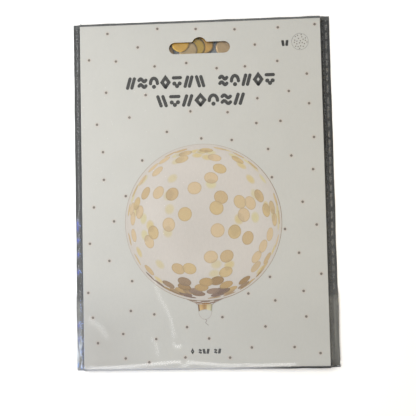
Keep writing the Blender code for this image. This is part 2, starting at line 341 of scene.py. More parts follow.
def add_piece(name, patches, material, even=True):
    """A smooth painted mesh that rides on the pack; doubled points where patches meet become one."""
    mesh = bpy.data.meshes.new(name)
    mesh.from_pydata(patches.coords, [], patches.faces)
    layer = mesh.color_attributes.new("paint", "FLOAT_COLOR", "CORNER")
    layer.data.foreach_set("color", np.array(patches.paint, np.float32).ravel())
    mesh.materials.append(material)
    if even:
        shape = bmesh.new()
        shape.from_mesh(mesh)
        bmesh.ops.remove_doubles(shape, verts=shape.verts, dist=0.002 * MM)
        bmesh.ops.recalc_face_normals(shape, faces=shape.faces)
        shape.to_mesh(mesh)
        shape.free()
    mesh.shade_smooth()
    piece = in_scene(name, mesh)
    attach(piece, "root")
    return piece


def slot_ring():
    """The hang slot's outline, read from the card's upper face, anticlockwise about its middle."""
    points = set()
    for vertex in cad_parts["card"].data.vertices:
        x, y, z = vertex.co
        inner = card_low.x + MM < x < card_high.x - MM
        if inner and z > card_high.z - FILM:
            points.add((round(x, 7), round(y, 7)))
    points = np.array(sorted(points))
    middle = (points.min(0) + points.max(0)) / 2
    angles = np.arctan2(points[:, 1] - middle[1], points[:, 0] - middle[0])
    return points[np.argsort(angles)]


SLOT_RING = slot_ring()
SLOT_MIDDLE = (SLOT_RING.min(0) + SLOT_RING.max(0)) / 2


def inside(points, ring):
    """For each point, whether it lies inside the ring."""
    x, y = points[:, 0, None], points[:, 1, None]
    x0, y0 = ring[:, 0], ring[:, 1]
    x1, y1 = np.roll(x0, -1), np.roll(y0, -1)
    spans = (y0 > y) != (y1 > y)
    rise = np.where(y1 == y0, 1.0, y1 - y0)
    left_of = x < (x1 - x0) * (y - y0) / rise + x0
    return (spans & left_of).sum(1) % 2 == 1


def grid_faces(rows, wide, skips=lambda i, j: False):
    """Faces between rows of points, without the cells that skips names."""
    faces = []
    for j in range(rows - 1):
        for i in range(wide - 1):
            a = j * wide + i
            if not skips(i, j):
                faces.append((a, a + 1, a + 1 + wide, a + wide))
    return faces


def disc_faces(rings, sides, first=0):
    """Faces of a disc whose points are its middle, numbered first, and then ring after ring."""
    faces = []
    for k in range(sides):
        a, b = first + 1 + k, first + 1 + (k + 1) % sides
        faces.append((first, a, b))
        for step in range(0, (rings - 1) * sides, sides):
            faces.append((a + step, a + step + sides, b + step + sides, b + step))
    return faces


def plate_with_hole(xs, ys, ring):
    """Plan points and faces of a grid over xs and ys with the ring cut out of it."""
    around, apart = 1.5 * MM, 0.5 * MM
    low, high = ring.min(0) - around, ring.max(0) + around
    i0, i1 = np.searchsorted(xs, low[0]) - 1, np.searchsorted(xs, high[0])
    j0, j1 = np.searchsorted(ys, low[1]) - 1, np.searchsorted(ys, high[1])
    grid = np.array([(x, y) for y in ys for x in xs])
    faces = grid_faces(len(ys), len(xs), lambda i, j: i0 <= i < i1 and j0 <= j < j1)
    patch = np.array([(xs[i], ys[j]) for j in range(j0, j1 + 1) for i in range(i0, i1 + 1)])
    away = np.abs(patch[:, None, :] - ring[None, :, :]).max(2).min(1) > apart
    patch = patch[away & ~inside(patch, ring)]
    first, count = len(patch), len(ring)
    loop = [(first + k, first + (k + 1) % count) for k in range(count)]
    made = delaunay_2d_cdt([Vector(p) for p in np.vstack([patch, ring])], loop, [], 0, 1e-9)
    corners = np.array([tuple(v) for v in made[0]])
    triangles = np.array([tuple(f) for f in made[2]])
    hollow = inside(corners[triangles].mean(1), ring)
    faces += [tuple(int(c) + len(grid) for c in f) for f in triangles[~hollow]]
    return np.vstack([grid, corners]), faces


def strip(rows):
    """Points and faces of a strip through rows of equal length."""
    return [point for row in rows for point in row], grid_faces(len(rows), len(rows[0]))


def row_at(xs, y, height_of):
    """A row of points at one y, with the heights that height_of gives."""
    ys = np.full(len(xs), y)
    return list(zip(xs, ys, height_of(xs, ys)))


def tint(points, colour, density):
    """The same paint for each point."""
    return np.tile((*colour, density), (len(points), 1))


def layered(under, over, share):
    """Paint between two paints, point by point."""
    return under + (over - under) * np.asarray(share)[:, None]


def coated(paint, colour, density, share):
    """Paint with another colour and density laid over it, point by point."""
    return layered(paint, np.array((*colour, density)), share)


# Printed card


class Ink(Patches):
    """Flat printed shapes; x is from the card's middle, y as in the world."""

    def area(self, points, faces, colours, level):
        height = card_high.z + INK_FIRST + level * INK_STEP
        coords = [(CARD_MIDDLE + x, y, height) for x, y in points]
        self.add(coords, [facing_up(coords, face) for face in faces], colours)

    def shape(self, points, colour, level):
        self.area(points, [tuple(range(len(points)))], [colour] * len(points), level)

    def dot(self, place, radius, colour, level, sides=24):
        points = [(place[0] + radius * x, place[1] + radius * y) for x, y in circle(sides)]
        self.shape(points, colour, level)

    def stroke(self, points, width, colour, level):
        """A line of even width with round ends."""
        if len(points) == 1:
            self.dot(points[0], width * 0.62, colour, level)
            return
        path = np.array(points)
        runs = np.diff(path, axis=0)
        runs /= np.linalg.norm(runs, axis=1)[:, None]
        sides = np.stack([-runs[:, 1], runs[:, 0]], 1)
        bends = np.vstack([sides[:1], (sides[:-1] + sides[1:]) / 2, sides[-1:]])
        bends /= (bends * bends).sum(1)[:, None]
        half, round_points = width / 2, 7
        turns = math.pi * np.arange(1, round_points + 1)[:, None] / (round_points + 1)
        ends = [
            path[k] + way * half * (np.cos(turns) * sides[k] + np.sin(turns) * runs[k])
            for k, way in ((-1, 1), (0, -1))
        ]
        points = np.vstack([path + bends * half, path - bends * half, *ends])
        count, last = len(path), len(points)
        faces = [(k, k + 1, count + k + 1, count + k) for k in range(count - 1)]
        faces.append((count - 1, *range(2 * count, last - round_points), 2 * count - 1))
        faces.append((count, *range(last - round_points, last), 0))
        self.area(points, faces, [colour] * len(points), level)


def facing_up(coords, face):
    """The face with its corners running anticlockwise, so that it doesn't face the card."""
    corners = [coords[c] for c in face]
    after = corners[1:] + corners[:1]
    turned = sum(a[0] * b[1] - b[0] * a[1] for a, b in zip(corners, after)) < 0
    return tuple(reversed(face)) if turned else face


def arch(low, high):
    """A half turn from the left to the right of a unit box, from height low up to high."""
    turns = stations(math.pi, 0.0, math.pi / 8)
    return tuple((0.5 + 0.5 * math.cos(t), low + (high - low) * math.sin(t)) for t in turns)


def wave(height):
    """One full wave across a unit box."""
    return tuple((x, height + 0.14 * math.sin(2 * math.pi * x)) for x in stations(0.0, 1.0, 0.1))


# Marks that stand for printed words and are no letters; each is one or more strokes in a unit box
MARKS = (
    (((0.0, 0.05), (0.38, 0.95)), ((0.62, 0.05), (1.0, 0.95))),
    (arch(0.42, 0.95), ((0.5, 0.1),)),
    (((0.0, 0.92), (1.0, 0.92)), ((0.12, 0.35),), ((0.88, 0.35),), ((0.5, 0.1),)),
    (wave(0.78), wave(0.22)),
    (((0.0, 0.95), (0.38, 0.05)), ((0.62, 0.95), (1.0, 0.05))),
    (((0.5, 0.02), (1.0, 0.5), (0.5, 0.98), (0.0, 0.5), (0.5, 0.02)),),
)


def print_row(ink, *lengths, marks):
    """One row of marks, evenly spaced over its width."""
    middle, y, width, height, stroke = (length * MM for length in lengths)
    pitch = width / len(marks)
    box = pitch - stroke * 1.38
    for k, mark in enumerate(marks):
        if mark is None:
            continue
        left = middle - width / 2 + pitch * k + (pitch - box) / 2
        low = y - height / 2 + stroke / 2
        for line in MARKS[mark]:
            points = [(left + u * box, low + v * (height - stroke)) for u, v in line]
            ink.stroke(points, stroke, TEXT_COLOUR, 0)


def print_dots(ink):
    """Dots thrown over the card by chance, each well apart from the others and off the other printing."""
    chance = random.Random(DOT_SEED)
    half = (card_high.x - card_low.x) / 2 - DOT_EDGE
    bare = [[edge * MM for edge in place] for place in BARE_PLACES]

    def on_card():
        x = chance.uniform(-half, half)
        return (x, chance.uniform(card_low.y + DOT_EDGE, card_high.y - DOT_EDGE))

    def off_print(place):
        near_words = any(
            left - DOT_CLEARANCE < place[0] < right + DOT_CLEARANCE
            and low - DOT_CLEARANCE < place[1] < high + DOT_CLEARANCE
            for left, right, low, high in bare
        )
        reach = math.dist(place, PICTURE_MIDDLE)
        return not near_words and reach > PICTURE_RADIUS + PICTURE_CLEARANCE

    for place in scattered(on_card, DOT_TRIES, DOT_TRIES, DOT_SPACING, off_print):
        ink.dot(place, HALO_RADIUS, HALO_COLOUR, 0)
        ink.dot(place, DOT_RADIUS, DOT_COLOUR, 1)


def print_words(ink):
    """The rows of marks, and a ring of fine dots with specks inside it."""
    for *lengths, marks in WORD_ROWS:
        print_row(ink, *lengths, marks=marks)
    for x, y in circle(ICON_DOTS):
        place = (ICON_PLACE[0] + ICON_RADIUS * x, ICON_PLACE[1] + ICON_RADIUS * y)
        ink.dot(place, ICON_DOT, TEXT_COLOUR, 0, sides=8)
    chance = random.Random(DOT_SEED)

    def in_ring():
        turn = chance.uniform(0, 2 * math.pi)
        reach = ICON_RADIUS * 0.86 * math.sqrt(chance.uniform(0.0, 1.0))
        return (ICON_PLACE[0] + reach * math.cos(turn), ICON_PLACE[1] + reach * math.sin(turn))

    for place in scattered(in_ring, ICON_TRIES, ICON_SPECKS, 3.6 * ICON_SPECK, lambda place: True):
        ink.dot(place, ICON_SPECK, DOT_COLOUR, 0, sides=10)


# Soft lights and shades in the pictured balloon: place and reach in radii, then change of tone
GLOWS = (
    (-0.64, 0.12, 0.20, 0.42, 0.070),
    (-0.42, -0.50, 0.16, 0.22, 0.040),
    (0.56, 0.02, 0.24, 0.50, 0.055),
    (0.10, -0.52, 0.30, 0.14, 0.050),
    (0.00, 0.72, 0.55, 0.16, 0.035),
    (-0.12, -0.12, 0.24, 0.34, -0.040),
    (0.28, 0.10, 0.08, 0.36, -0.020),
)
PICTURE_COLOUR = rgb(183, 178, 172)
PICTURE_EDGE = rgb(178, 172, 165)
RIM_COLOUR = rgb(160, 148, 134)
DARK_RIM = rgb(128, 112, 92)


def mixed(first, second, share):
    return tuple(a + (b - a) * share for a, b in zip(first, second))


def on_picture(u, v):
    """The place on the card of a place in radii from the picture's middle."""
    return (PICTURE_MIDDLE[0] + u * PICTURE_RADIUS, PICTURE_MIDDLE[1] + v * PICTURE_RADIUS)


def picture_tone(u, v):
    """The pictured film's colour at a place in radii from its middle."""
    gain = 1.0
    for x, y, reach_x, reach_y, change in GLOWS:
        gain += change * bell((u - x) / reach_x, (v - y) / reach_y)
    edge = 0.5 * ramp(math.hypot(u, v), 0.86, 1.0)
    return mixed([c * gain for c in PICTURE_COLOUR], PICTURE_EDGE, edge)


def print_ground(ink):
    """The pictured film: rings of points out to the rim."""
    rings, sides = 30, 120
    places = [(0.0, 0.0)]
    for ring in range(1, rings + 1):
        reach = math.sin(math.pi / 2 * ring / rings)
        places += [(reach * x, reach * y) for x, y in circle(sides)]
    points = [on_picture(*place) for place in places]
    ink.area(points, disc_faces(rings, sides), [picture_tone(*place) for place in places], 0)


def print_rim(ink):
    """The thin dark line round the pictured film, stronger to the right and below."""
    sides = 240
    points, colours, faces = [], [], []
    for k in range(sides):
        turn = 2 * math.pi * k / sides
        weight = 0.5 + 0.3 * math.cos(turn + 0.7) + 0.2 * math.sin(3 * turn)
        width = (0.15 + 0.20 * weight) * MM
        for inner in (0, width):
            reach = 1 + (0.1 * MM - inner) / PICTURE_RADIUS
            points.append(on_picture(reach * math.cos(turn), reach * math.sin(turn)))
            colours.append(mixed(RIM_COLOUR, DARK_RIM, weight))
        a, b = 2 * k, 2 * ((k + 1) % sides)
        faces.append((a, b, b + 1, a + 1))
    ink.area(points, faces, colours, 1)


# Golds of the pictured confetti
NEAR_GOLDS = (rgb(183, 163, 127), rgb(186, 166, 134), rgb(181, 160, 119), rgb(176, 154, 117))
FAR_GOLDS = (rgb(185, 177, 141), rgb(184, 174, 144), rgb(185, 170, 128))
PILE_GOLDS = (
    rgb(164, 138, 94), rgb(150, 124, 80), rgb(136, 114, 88),
    rgb(170, 146, 102), rgb(140, 114, 76), rgb(118, 99, 83),
)
RIM_BROWNS = (rgb(134, 112, 94), rgb(116, 94, 80), rgb(150, 126, 92), rgb(124, 100, 78))
BROWN_BELOW = -0.89  # confetti at the very foot is browner
# Bands of confetti on the globe: lowest, highest, furthest back, furthest forward, spacing, discs
FAR_BAND = (-0.75, 0.96, -1.0, -0.05, 0.0, 46)
NEAR_BAND = (-0.66, 0.97, 0.06, 1.0, 0.15, 60)
PILE_BANDS = (
    (-0.90, -0.77, 0.12, 1.0, 0.125, 17),
    (-0.955, -0.90, 0.16, 0.45, 0.125, 10),
    (-0.995, -0.66, 0.05, 0.13, 0.150, 14),
)
FAR_SHARE = 0.35  # chance that a place in the middle keeps its disc; at the rim each does
NEAR_SHARE = 0.25
GLOBE_TRIES = 3000
DISC_RINGS = (0.5, 0.84, 0.93, 1.0)  # rings of points in a pictured disc, as shares of its size
LAST_DISC_LEVEL = 14


def globe_band(chance, band, middle_share=1.0):
    """Directions from the globe's middle in a band, fewer of them towards the picture's middle."""
    low, high, back, front, spacing, count = band

    def on_globe():
        y = chance.uniform(low, high)
        turn = chance.uniform(0, 2 * math.pi)
        flat = math.sqrt(1 - y * y)
        return (flat * math.sin(turn), y, flat * math.cos(turn))

    def suits(way):
        if not back < way[2] < front:
            return False
        outward = max(abs(way[0]), way[1])
        return middle_share == 1.0 or chance.random() < middle_share + (1 - middle_share) * outward

    return scattered(on_globe, GLOBE_TRIES, count, spacing, suits)


def globe_discs():
    """Confetti on the pictured globe, as (direction, colour), the far wall first."""
    chance = random.Random(PICTURE_SEED)
    far = globe_band(chance, FAR_BAND, FAR_SHARE)
    near = globe_band(chance, NEAR_BAND, NEAR_SHARE)
    pile = [way for band in PILE_BANDS for way in globe_band(chance, band)]
    pile.sort(key=lambda way: way[2])
    discs = [(way, chance.choice(FAR_GOLDS)) for way in far]
    for way in pile:
        discs.append((way, chance.choice(RIM_BROWNS if way[1] < BROWN_BELOW else PILE_GOLDS)))
    return discs + [(way, chance.choice(NEAR_GOLDS)) for way in near]


def disc_tones(way, colour, shares, cover):
    """Near discs have a dark rim, far ones fade into the film, and overlaps are darker."""
    film = picture_tone(way[0], way[1])
    tones = []
    for share, covered in zip(shares, cover):
        rim = 0.14 if share > 0.9 and way[2] >= 0 else 0.0
        dark = 1 - 0.11 * min(covered, 2) - rim
        fade = 0.85 * ramp(share, 0.7, 1.0) if way[2] < 0 else 0.0
        tones.append(mixed([c * dark for c in colour], film, fade))
    return tones


def print_confetti(ink):
    """Each disc is an ellipse, flatter towards the rim, darker where it lies over others."""
    sides = 28
    reach = 1 - PICTURE_DISC * 0.35 / PICTURE_RADIUS
    done = []
    for way, colour in globe_discs():
        middle = np.array(on_picture(way[0] * reach, way[1] * reach))
        out = np.array(way[:2]) / math.hypot(way[0], way[1])
        size = PICTURE_DISC * (1.0 + 0.1 * way[2])
        along = out * size * max(abs(way[2]), 0.1)
        across = np.array((-out[1], out[0])) * size
        points, shares = [middle], [0.0]
        for share in DISC_RINGS:
            points += [middle + share * (x * along + y * across) for x, y in circle(sides)]
            shares += [share] * sides
        points = np.array(points)
        cover = np.zeros(len(points))
        level = 2
        for its_middle, its_along, its_across, its_level in done:
            if np.linalg.norm(its_middle - middle) < 2.2 * PICTURE_DISC:
                local = points - its_middle
                a = local @ its_along / (its_along @ its_along)
                b = local @ its_across / (its_across @ its_across)
                within = a * a + b * b < 1
                cover += within
                if within.any():
                    level = max(level, its_level + 1)
        level = min(level, LAST_DISC_LEVEL)
        tones = disc_tones(way, colour, shares, cover)
        ink.area(points, disc_faces(len(DISC_RINGS), sides), tones, level)
        done.append((middle, along, across, level))


# The pictured neck, in mm from the globe's middle line and from its foot
FLARE = ((9.5, 1.1), (7.4, 0.2), (5.6, -0.6), (4.5, -1.2), (3.9, -1.9))
COLLAR_TOP = -1.8
COLLAR_FOOT = -5.3
COLLAR = (
    (-3.7, rgb(92, 62, 28)),
    (-3.1, rgb(112, 78, 38)),
    (-2.8, rgb(200, 172, 118)),
    (-1.6, rgb(186, 150, 90)),
    (-0.4, rgb(150, 116, 64)),
    (0.6, rgb(166, 134, 80)),
    (1.2, rgb(200, 188, 146)),
    (2.9, rgb(192, 186, 150)),
    (3.3, rgb(142, 146, 116)),
    (3.7, rgb(150, 152, 132)),
)
SLIVERS = (
    (-6.2, 0.2, 2.2, 0.28, -0.12, rgb(128, 108, 92)),
    (-3.2, -0.9, 1.9, 0.30, -0.05, rgb(122, 90, 62)),
    (0.3, -0.2, 2.6, 0.34, 0.04, rgb(120, 98, 80)),
    (0.6, -1.3, 2.4, 0.40, 0.02, rgb(140, 104, 58)),
    (3.9, -0.8, 1.7, 0.26, 0.20, rgb(118, 92, 72)),
    (6.4, 0.2, 2.0, 0.30, 0.16, rgb(122, 102, 90)),
)  # place, half length and half height, lean, colour
BOWL_HALF = 3.35 * MM
BOWL_DEPTH = 4.1 * MM
TAIL_STEP = 0.44 * MM


def print_neck(ink):
    """The pictured film drawn into a gold collar, the clear stub below it and its thin tail."""
    foot = PICTURE_MIDDLE[1] - PICTURE_RADIUS
    film = picture_tone(0.0, -1.0)
    left = [(-x * MM, foot + y * MM) for x, y in FLARE]
    right = [(x * MM, foot + y * MM) for x, y in FLARE]
    for k in range(len(FLARE) - 1):
        ink.shape([left[k], left[k + 1], right[k + 1], right[k]], film, 0.5)
    for side in (left, right):
        ink.stroke(side, 0.28 * MM, rgb(140, 124, 112), 2)
    for x, y, long, high, lean, colour in SLIVERS:
        round_points = [(long * u, high * v) for u, v in circle(20)]
        points = [((x + u) * MM, foot + (y + v + lean * u) * MM) for u, v in round_points]
        ink.shape(points, colour, 15)
    points, colours = [], []
    for x, colour in COLLAR:
        drop = 0.5 * (x / COLLAR[-1][0]) ** 2
        points.append((x * MM, foot + (COLLAR_TOP + 0.3 * drop) * MM))
        points.append((x * 0.9 * MM, foot + (COLLAR_FOOT + 1.0 - 2.0 * drop) * MM))
        colours += [mixed(colour, rgb(128, 96, 52), 0.35), mixed(colour, film, 0.1)]
    faces = [(2 * k, 2 * k + 1, 2 * k + 3, 2 * k + 2) for k in range(len(COLLAR) - 1)]
    ink.area(points, faces, colours, 16)
    low = foot + COLLAR_FOOT * MM
    turns = [math.pi * k / 12 for k in range(13)]
    bowl = [(BOWL_HALF * math.cos(t), low - BOWL_DEPTH * math.sin(t)) for t in turns]
    ink.stroke(bowl, 0.26 * MM, rgb(164, 156, 152), 1)
    top = low - 4.0 * MM
    tail = [((0.5 * math.sin(k * 1.1) + 0.14 * k) * MM, top - TAIL_STEP * k) for k in range(8)]
    ink.stroke(tail, 0.3 * MM, rgb(140, 134, 130), 1)


def print_picture(ink):
    print_ground(ink)
    print_rim(ink)
    print_confetti(ink)
    print_neck(ink)


PRINTS = {"printed_dots": print_dots, "printed_marks": print_words, "printed_picture": print_picture}


def print_card():
    material = new_material("print_ink", ink_shader)
    for name, draw in PRINTS.items():
        ink = Ink()
        draw(ink)
        add_piece(name, ink, material, even=False)


# Film bag

# Raised folds in the front film: points along each fold, half width and rise
RIDGES = (
    (((-66.0, -88.4), (-55.0, -87.8), (-39.7, -87.0), (-24.2, -85.8), (-14.0, -85.0)), 1.8, 0.38),
    (((-9.0, -85.4), (1.4, -86.4), (11.6, -87.2), (24.3, -87.4), (44.0, -87.0)), 1.8, 0.40),
    (((-24.8, -44.0), (-22.1, -52.9), (-19.1, -58.0), (-16.6, -64.2), (-15.2, -72.0)), 2.3, 0.50),
    (((-14.9, -77.1), (-14.1, -76.6)), 2.2, 0.56),
    (((-11.6, -71.5), (-8.6, -76.5), (-8.2, -81.6), (-11.5, -87.0)), 2.2, 0.38),
    (((-26.0, -74.0), (-24.1, -77.8), (-23.6, -82.0)), 2.4, 0.40),
    (((24.0, -50.0), (34.0, -60.0), (38.0, -68.0), (29.0, -77.0), (19.0, -86.0)), 2.8, 0.34),
    (((-62.0, -62.0), (-54.0, -66.0), (-50.0, -72.0)), 2.4, 0.30),
)

# Dents in the sloping left margin, where the film leans down the pack
DENTS = (
    (-65.4, -14.2), (-65.4, -17.2), (-65.5, -23.5), (-65.3, -30.8),
    (-65.4, -40.2), (-65.4, -68.0), (-65.2, -75.0), (-65.4, -82.5),
)
DENT_LEAN = 0.5


def from_line(xs, ys, line):
    """Each point's distance to a line of points."""
    points = np.stack([xs, ys], 1)
    nearest = np.full(len(xs), 1.0)
    for start, end in zip(line[:-1], line[1:]):
        run = end - start
        share = np.clip((points - start) @ run / (run @ run), 0.0, 1.0)
        nearest = np.minimum(nearest, np.linalg.norm(points - start - share[:, None] * run, axis=1))
    return nearest


def curved(points, steps=6):
    """A smooth line through the points."""
    path = np.array(points) * MM
    ends = np.vstack([2 * path[0] - path[1], path, 2 * path[-1] - path[-2]])
    line = []
    for k in range(len(path) - 1):
        a, b, c, d = ends[k : k + 4]
        for step in range(steps):
            t = step / steps
            line.append(
                0.5 * (2 * b + (c - a) * t + (2 * a - 5 * b + 4 * c - d) * t**2)
                + 0.5 * (3 * b - a - 3 * c + d) * t**3
            )
    line.append(path[-1])
    return np.array(line)


def inward(xs, left, right, reach):
    """From 0 at the left and right places to 1 at the given reach inwards."""
    return smooth(np.minimum(xs - left, right - xs) / reach)


def back_height(ys):
    """The back film lies on the flap, then steps down to the table."""
    lapped = 1 - ramp(ys, FLAP_END + GAP, FLAP_END + GAP + STEP_LENGTH)
    return FILM / 2 + (BACK_ON_FLAP - FILM / 2) * lapped


def back_film(xs, ys):
    """Height of the back film, with shallow folds that stay below the balloon."""
    ripple = 0.10 * MM * (0.5 + perlin(xs, ys, 14 * MM, 3.0)) + 0.05 * MM * perlin(xs, ys, 4 * MM, 5.0)
    return back_height(ys) + np.clip(ripple, 0.0, 0.22 * MM) * inward(xs, WELD_LEFT, WELD_RIGHT, 4 * MM)


def flap_height(xs, ys):
    ripple = 0.12 * MM * (0.5 + perlin(xs, ys, 12 * MM, 9.0))
    return FILM / 2 + np.clip(ripple, 0.0, 0.2 * MM)


def weld_height(ys):
    return back_height(ys) + FILM


def weld_slope(share):
    """A gentle slope from the weld that steepens towards the card's edge."""
    share = np.clip(share, 0.0, 1.0)
    return 0.27 * share + 0.73 * share**3


def front_film(xs, ys):
    """Height of the front film: over the card, then down a slope to each weld."""
    weld = weld_height(ys)
    left = weld_slope((xs - WELD_LEFT) / (card_low.x - WELD_LEFT))
    right = weld_slope((WELD_RIGHT - xs) / (WELD_RIGHT - card_high.x))
    share = np.minimum(left, right)
    billow = 0.10 * MM * perlin(xs, ys, 38 * MM, 1.0) + 0.015 * MM * perlin(xs, ys, 12 * MM, 2.0)
    for points, reach, rise in RIDGES:
        billow += rise * MM * bell(from_line(xs, ys, curved(points)) / (reach * MM))
    over = np.maximum(inward(xs, card_low.x, card_high.x, 6 * MM), smooth(share) * 0.35)
    height = weld + (FRONT_LEVEL - weld) * share + np.maximum(billow, -0.12 * MM) * over
    corner = ramp(ys, -35 * MM, -80 * MM) * ramp(xs, 0.0, -20 * MM)
    crumple = (0.07 + 1.3 * corner) * perlin(xs, ys * 0.35, 1.8 * MM, 7.0) * 0.17 * MM
    height += share * (1 - share) * 4 * crumple
    for x, y in DENTS:
        along, up = xs - x * MM, ys - y * MM
        height += bell(along / (0.9 * MM), up / (3.2 * MM)) * DENT_LEAN * up
    return np.maximum(height, weld)


# Haze of the film, with painted shade, painted reflections and painted glints

SMOKE = rgb(40, 41, 41)
LIT_SMOKE = rgb(88, 89, 87)
FLAP_SMOKE = rgb(100, 100, 96)
LAPPED_SMOKE = rgb(122, 122, 117)
TOP_SMOKE = rgb(88, 90, 90)
CLEAR_FILM = rgb(215, 216, 218)
# Painted shade with a faint cool painted reflection, low on the front film
PAINTED_SHADE_COOL_SHEEN = rgb(136, 141, 150)
# Painted shade over the card's lower left
PAINTED_CORNER_SHADE = rgb(112, 100, 95)
SEAM = rgb(150, 150, 147)
# Pale painted sheen along the bottom edge
PAINTED_HEM_SHEEN = rgb(204, 207, 213)
# Pale painted reflection on the left of the lower fold
PALE_FOLD_SHEEN = rgb(196, 199, 203)
# Pale film haze with pale painted reflection
PALE_HAZE_AND_SHEEN = rgb(204, 213, 224)
# Blue painted reflection
PAINTED_BLUE_REFLECTION = rgb(128, 160, 214)
# Blue painted glints on the left margin
PAINTED_BLUE_GLINT = rgb(78, 98, 204)
SEAM_DASH = 4.7 * MM


def front_paint(xs, ys):
    """Clear, with soft dashes where the welds begin. Painted shade lies low down and in the lower left,
    with a faint cool painted reflection. The lower left margin has pale film haze with pale and blue
    painted reflection and blue painted glints, and a pale painted sheen runs along the bottom edge.
    """
    left = ramp(xs, card_low.x - 0.5 * MM, card_low.x - 2.7 * MM)
    paint = tint(xs, CLEAR_FILM, 0.012)
    # Painted shade with a faint cool painted reflection, growing towards the bottom of the card
    paint = coated(paint, PAINTED_SHADE_COOL_SHEEN, 0.04, ramp(ys, -30 * MM, -70 * MM) * (1 - left))
    # Painted shade over the lower left of the card
    corner_shade_mask = ramp(xs, -18 * MM, -60 * MM) * ramp(ys, -42 * MM, -82 * MM)
    paint = coated(paint, PAINTED_CORNER_SHADE, 0.12, corner_shade_mask * (1 - left))
    beat = ys / SEAM_DASH + 0.5 * perlin_along(ys, 13 * MM, 50.0)
    dash = ramp(np.sin(2 * math.pi * beat), -0.55, -0.05) * ramp(ys, -62 * MM, -42 * MM)
    stray = 0.12 * MM * perlin_along(ys, 6 * MM, 51.0)
    for seam, density in ((WELD_RIGHT - 0.1 * MM, 0.48), (WELD_LEFT + 0.1 * MM, 0.12)):
        paint = coated(paint, SEAM, density, bell((xs - seam - stray) / (0.36 * MM)) * dash)
    # The lower left margin: pale film haze with pale and blue painted reflection, in streaks
    low = 0.12 * ramp(ys, FLAP_END, FLAP_END - 0.8 * MM) + 0.88 * ramp(ys, -66 * MM, -83 * MM)
    streaks = np.clip(0.66 + 1.5 * perlin(xs, ys * 0.25, 1.1 * MM, 52.0), 0.0, 1.0)
    blue_sheen_mask = ramp(perlin(xs, ys * 0.3, 2.2 * MM, 53.0), -0.05, 0.25)
    pale_and_blue_sheen = coated(tint(xs, PALE_HAZE_AND_SHEEN, 0.85), PAINTED_BLUE_REFLECTION, 0.9, blue_sheen_mask)
    paint = layered(paint, pale_and_blue_sheen, left * low * streaks)
    # Painted blue glints beside the dents
    for x, y in DENTS:
        beside = bell((xs - (x - 1.7) * MM) / (0.7 * MM), (ys - y * MM) / (1.9 * MM))
        paint = coated(paint, PAINTED_BLUE_GLINT, 0.66, beside * (1 - low))
    # A pale painted sheen along the bottom edge of the front film
    hem_sheen_mask = ramp(ys, -87.4 * MM, -89.0 * MM) * ramp(xs, 34 * MM, -16 * MM)
    return coated(paint, PAINTED_HEM_SHEEN, 0.26, hem_sheen_mask * (1 - left))


def back_paint(xs, ys):
    """Smoke grey with lengthwise streaks, lighter low down and over the flap, thinner in the middle."""
    lapped = ramp(ys, FLAP_END + 0.3 * MM, FLAP_END - 0.3 * MM)
    lit = 0.5 * ramp(ys, 45 * MM, -55 * MM) + 0.22 * ramp(xs, 20 * MM, -40 * MM)
    paint = coated(tint(xs, SMOKE, 0.94), LIT_SMOKE, 0.9, lit)
    paint = coated(paint, LAPPED_SMOKE, 0.9, 0.75 * lapped)
    streaks = perlin(xs, ys * 0.05, 0.8 * MM, 40.0) * (0.15 + 0.3 * lapped)
    breaks = np.clip(0.7 + 1.6 * perlin_along(ys, 3 * MM, 41.0), 0.0, 1.0)
    seam = bell((xs - WELD_RIGHT + MM) / (0.3 * MM)) * breaks * lapped
    edge = ramp(np.abs(xs), bag_high.x - 0.9 * MM, bag_high.x - 0.4 * MM)
    tape = ramp(ys, tape_low.y, tape_low.y + 0.5 * MM) * ramp(ys, tape_high.y, tape_high.y - 0.5 * MM)
    blots = ramp(perlin(xs, ys, 1.6 * MM, 42.0), 0.05, 0.25) * tape
    tone = 1 + streaks - 0.45 * seam - 0.3 * edge - 0.35 * blots + 0.12 * tape
    paint[:, :3] *= np.clip(tone, 0.3, 2.0)[:, None]
    paint[:, 3] -= 0.34 * inward(xs, card_low.x, card_high.x, 9 * MM)
    return paint


def flap_paint(xs, ys):
    paint = tint(xs, FLAP_SMOKE, 0.9)
    paint[:, 3] -= 0.4 * inward(xs, card_low.x, card_high.x, 9 * MM)
    return paint


def bottom_paint(xs, ys):
    """The lower fold: a pale painted reflection to the left, dark smoke to the right, lighter where the
    flap comes up.
    """
    flap = ramp(xs, card_high.x, card_high.x + MM)
    flap *= ramp(ys, card_low.y - 0.8 * MM, card_low.y - 0.3 * MM)
    dark = coated(tint(xs, SMOKE, 0.93), FLAP_SMOKE, 0.93, flap)
    share = np.maximum(ramp(xs, 5 * MM, 50 * MM), 0.6 * ramp(xs, -60 * MM, -64 * MM))
    return layered(tint(xs, PALE_FOLD_SHEEN, 0.55), dark, share)


def fold_rows(xs, y, upper, lower, reach):
    """Rows round the outside of a fold, from the upper height to the lower one."""
    steps = 10
    middle, half = (upper + lower) / 2, (upper - lower) / 2
    rows = []
    for turn in stations(0.0, math.pi, math.pi / steps):
        rows.append(list(zip(xs, y + reach * math.sin(turn), middle + half * math.cos(turn))))
    return rows


def wavy(xs, ys):
    """The film's side edges wander a little."""
    outer = ramp(np.abs(xs), WELD_RIGHT - MM, WELD_RIGHT + MM) * np.sign(xs)
    return xs + outer * 0.22 * MM * perlin_along(ys, 17 * MM, 60.0)


